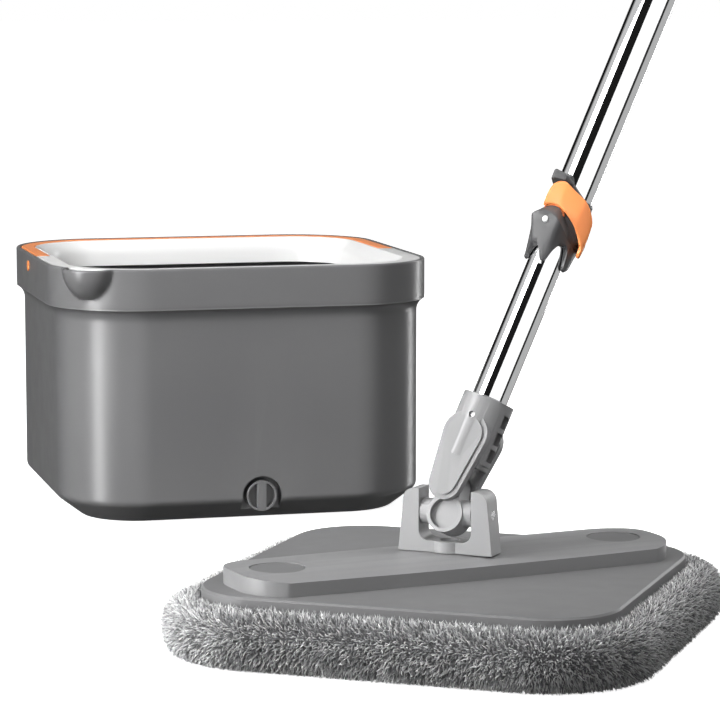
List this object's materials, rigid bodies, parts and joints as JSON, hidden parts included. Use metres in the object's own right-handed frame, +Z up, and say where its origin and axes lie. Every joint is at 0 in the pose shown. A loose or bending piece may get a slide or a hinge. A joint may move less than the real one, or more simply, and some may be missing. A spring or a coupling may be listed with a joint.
{
  "type": "spin mop with bucket",
  "caption": "Flat mop with a fluffy square pad, swivelling joint and telescopic steel pole, beside a rounded-square spin bucket with basin, bail handle and drain plug.",
  "frame": {"origin": "middle of the bucket's base, on the floor", "axes": "+Z up, +X along the bucket's length, -Y towards the side with the drain plug, where the mop stands"},
  "size_m": [0.5806, 0.8582, 0.9334],
  "materials": {
    "tub_plastic": "satin moulded grey plastic",
    "basin_plastic": "smooth glossy white plastic",
    "orange_plastic": "satin orange plastic",
    "turntable_plastic": "light grey moulded plastic",
    "plate_plastic": "satin grey plastic",
    "bar_plastic": "satin mid-grey plastic",
    "joint_plastic": "light grey moulded plastic",
    "socket_plastic": "satin grey plastic",
    "collar_plastic": "satin dark grey plastic",
    "grip_plastic": "fine-textured grey plastic",
    "nylon": "milky low-friction plastic",
    "tube_chrome": "polished stainless steel tube",
    "pin_steel": "turned steel",
    "rubber": "soft black rubber",
    "pad_fibre": "fluffy two-tone microfibre pile",
    "hook_tape": "woven hook tape"
  },
  "bodies": {
    "bucket": {"tub": "tub_plastic", "basin": "basin_plastic", "spindle": "pin_steel", "spindle_washer": "pin_steel", "spindle_clip": "pin_steel", "base_pads": "rubber", "handle_pins": "orange_plastic"},
    "bail": {"bail_handle": "orange_plastic"},
    "spinner": {"turntable": "turntable_plastic", "hub_bush": "nylon", "hub_cap": "orange_plastic"},
    "drain_seal": {"drain_gasket": "rubber"},
    "drain_screw": {"drain_plug": "tub_plastic"},
    "mop_base": {"mop_pad": "pad_fibre", "hook_strips": "hook_tape", "head_plate": "plate_plastic", "head_bar": "bar_plastic", "bar_screws": "pin_steel", "disc_caps": "plate_plastic"},
    "swivel": {"yoke": "joint_plastic", "ear_pin": "pin_steel", "swivel_washer": "pin_steel", "swivel_screw": "pin_steel"},
    "tilt_block": {"cross_block": "joint_plastic", "roll_pin": "pin_steel"},
    "lower_pole": {"pole_socket": "socket_plastic", "socket_rivet": "pin_steel", "lower_tube": "tube_chrome", "guide_bush": "nylon", "nut_cap": "nylon"},
    "spin_nut": {"drive_nut": "orange_plastic"},
    "upper_pole": {"lock_collar": "collar_plastic", "collar_liner": "nylon", "lever_pins": "nylon", "upper_tube": "tube_chrome", "twisted_spindle": "pin_steel", "spindle_plug": "nylon", "grip_sleeve": "grip_plastic", "end_cap": "orange_plastic"},
    "lever": {"lock_lever": "orange_plastic"}
  },
  "joints": [
    {"name": "bail_swing", "type": "hinge", "parent": "bucket", "child": "bail", "pos_m": [0, 0.013, 0.1786], "axis": [1, 0, 0], "range_deg": [0, 95]},
    {"name": "turntable_spin", "type": "hinge", "parent": "bucket", "child": "spinner", "pos_m": [0, 0, 0.03], "axis": [0, 0, 1], "continuous": true},
    {"name": "drain_seal_out", "type": "slide", "parent": "bucket", "child": "drain_seal", "axis": [0, -1, 0], "range_m": [0, 0.0121]},
    {"name": "drain_turn", "type": "hinge", "parent": "drain_seal", "child": "drain_screw", "pos_m": [0.005, -0.13, 0.0185], "axis": [0, -1, 0], "range_deg": [0, 720]},
    {"name": "mop_lift", "type": "slide", "parent": "bucket", "child": "mop_base", "axis": [0, 0, 1], "range_m": [0, 0.3]},
    {"name": "yoke_swivel", "type": "hinge", "parent": "mop_base", "child": "swivel", "pos_m": [0.029, -0.538, 0.052], "axis": [0, 0, 1], "continuous": true},
    {"name": "pole_tilt", "type": "hinge", "parent": "swivel", "child": "tilt_block", "pos_m": [0.029, -0.538, 0.0744], "axis": [0.7771, -0.6293, 0], "range_deg": [-45, 84]},
    {"name": "pole_roll", "type": "hinge", "parent": "tilt_block", "child": "lower_pole", "pos_m": [0.03238, -0.53383, 0.08947], "axis": [-0.5929, -0.7321, 0.3355], "range_deg": [-28, 60]},
    {"name": "pole_slide", "type": "slide", "parent": "lower_pole", "child": "upper_pole", "axis": [0.4177, 0.0765, 0.9053], "range_m": [-0.08, 0.3]},
    {"name": "nut_spin", "type": "hinge", "parent": "lower_pole", "child": "spin_nut", "pos_m": [0.27383, -0.48959, 0.61276], "axis": [0.4177, 0.0765, 0.9053], "range_deg": [-601, 161]},
    {"name": "lever_flip", "type": "hinge", "parent": "upper_pole", "child": "lever", "pos_m": [0.1031, -0.52087, 0.24275], "axis": [-0.5929, -0.7321, 0.3355], "range_deg": [0, 25]}
  ],
  "couplings": [
    {"joint": "drain_seal_out", "follows": "drain_turn", "m_per_rad": 0.00095493},
    {"joint": "nut_spin", "follows": "pole_slide", "rad_per_m": -34.907}
  ]
}
